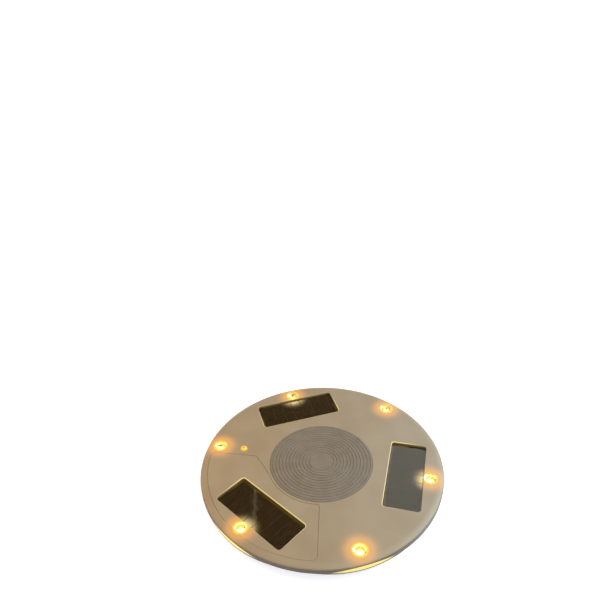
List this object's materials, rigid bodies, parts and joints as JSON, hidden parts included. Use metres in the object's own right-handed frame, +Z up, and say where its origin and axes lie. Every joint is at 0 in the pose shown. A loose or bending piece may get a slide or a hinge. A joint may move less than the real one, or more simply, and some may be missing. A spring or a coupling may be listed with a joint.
{
  "type": "solar lighted plant stand base",
  "caption": "Flat round solar lamp disc for standing a potted plant on: sunk solar panels, edge lamp domes, dusk sensor, glowing rim, battery door and switch below.",
  "frame": {"origin": "on the ground at the disc's axis, level with the undersides of the feet", "axes": "+Z up along the disc's axis, +Y towards the rear panel, +X to the right seen from the front"},
  "size_m": [0.254, 0.254, 0.0292],
  "materials": {
    "deck_plastic": "satin",
    "tray_plastic": "satin",
    "pad_rubber": "matte",
    "foot_rubber": "matte",
    "guide_plastic": "translucent",
    "gasket_rubber": "matte",
    "panel_glass": "gloss",
    "solar_cells": "gloss",
    "circuit_board": "satin",
    "lens_clear": "gloss",
    "reflector_white": "gloss",
    "led_package": "gloss",
    "sensor_lens": "gloss",
    "sensor_can": "satin",
    "steel": "brushed",
    "battery_jacket": "gloss",
    "inner_plastic": "satin",
    "knob_plastic": "satin",
    "ferrite": "matte",
    "capacitor_can": "satin",
    "lead_sheath": "gloss"
  },
  "bodies": {
    "housing": {"base_tray": "tray_plastic", "battery_cell_1": "battery_jacket", "battery_cell_2": "battery_jacket", "battery_contacts": "steel", "battery_cradle": "inner_plastic", "battery_door_hinge_pin": "steel", "battery_springs": "steel", "board_screws": "steel", "case_screws": "steel", "charge_inductor": "ferrite", "control_board": "circuit_board", "control_chip": "sensor_can", "deck_frame": "deck_plastic", "lamp_boards": "circuit_board", "lamp_led_1": "led_package", "lamp_led_2": "led_package", "lamp_led_3": "led_package", "lamp_led_4": "led_package", "lamp_led_5": "led_package", "lamp_led_6": "led_package", "lamp_lens_1": "lens_clear", "lamp_lens_2": "lens_clear", "lamp_lens_3": "lens_clear", "lamp_lens_4": "lens_clear", "lamp_lens_5": "lens_clear", "lamp_lens_6": "lens_clear", "lamp_reflector_1": "reflector_white", "lamp_reflector_2": "reflector_white", "lamp_reflector_3": "reflector_white", "lamp_reflector_4": "reflector_white", "lamp_reflector_5": "reflector_white", "lamp_reflector_6": "reflector_white", "light_guide_ring": "guide_plastic", "panel_board_left": "circuit_board", "panel_board_rear": "circuit_board", "panel_board_right": "circuit_board", "panel_cells_left": "solar_cells", "panel_cells_rear": "solar_cells", "panel_cells_right": "solar_cells", "panel_gasket_left": "gasket_rubber", "panel_gasket_rear": "gasket_rubber", "panel_gasket_right": "gasket_rubber", "panel_glass_left": "panel_glass", "panel_glass_rear": "panel_glass", "panel_glass_right": "panel_glass", "pot_rest_pad": "pad_rubber", "rubber_feet": "foot_rubber", "sector_cover": "deck_plastic", "sensor_cell": "sensor_can", "sensor_lens": "sensor_lens", "storage_capacitor": "capacitor_can", "switch_body": "inner_plastic", "wiring_harness": "lead_sheath"},
    "door": {"battery_door": "tray_plastic", "battery_door_seal": "foot_rubber", "battery_door_screw": "steel"},
    "slider": {"switch_slider": "knob_plastic"}
  },
  "joints": [
    {"name": "battery_door_hinge", "type": "hinge", "parent": "housing", "child": "door", "pos_m": [0, 0.0186, 0.00275], "axis": [1, 0, 0], "range_deg": [0, 95]},
    {"name": "power_switch_slide", "type": "slide", "parent": "housing", "child": "slider", "axis": [1, 0, 0], "range_m": [0, 0.004]}
  ]
}
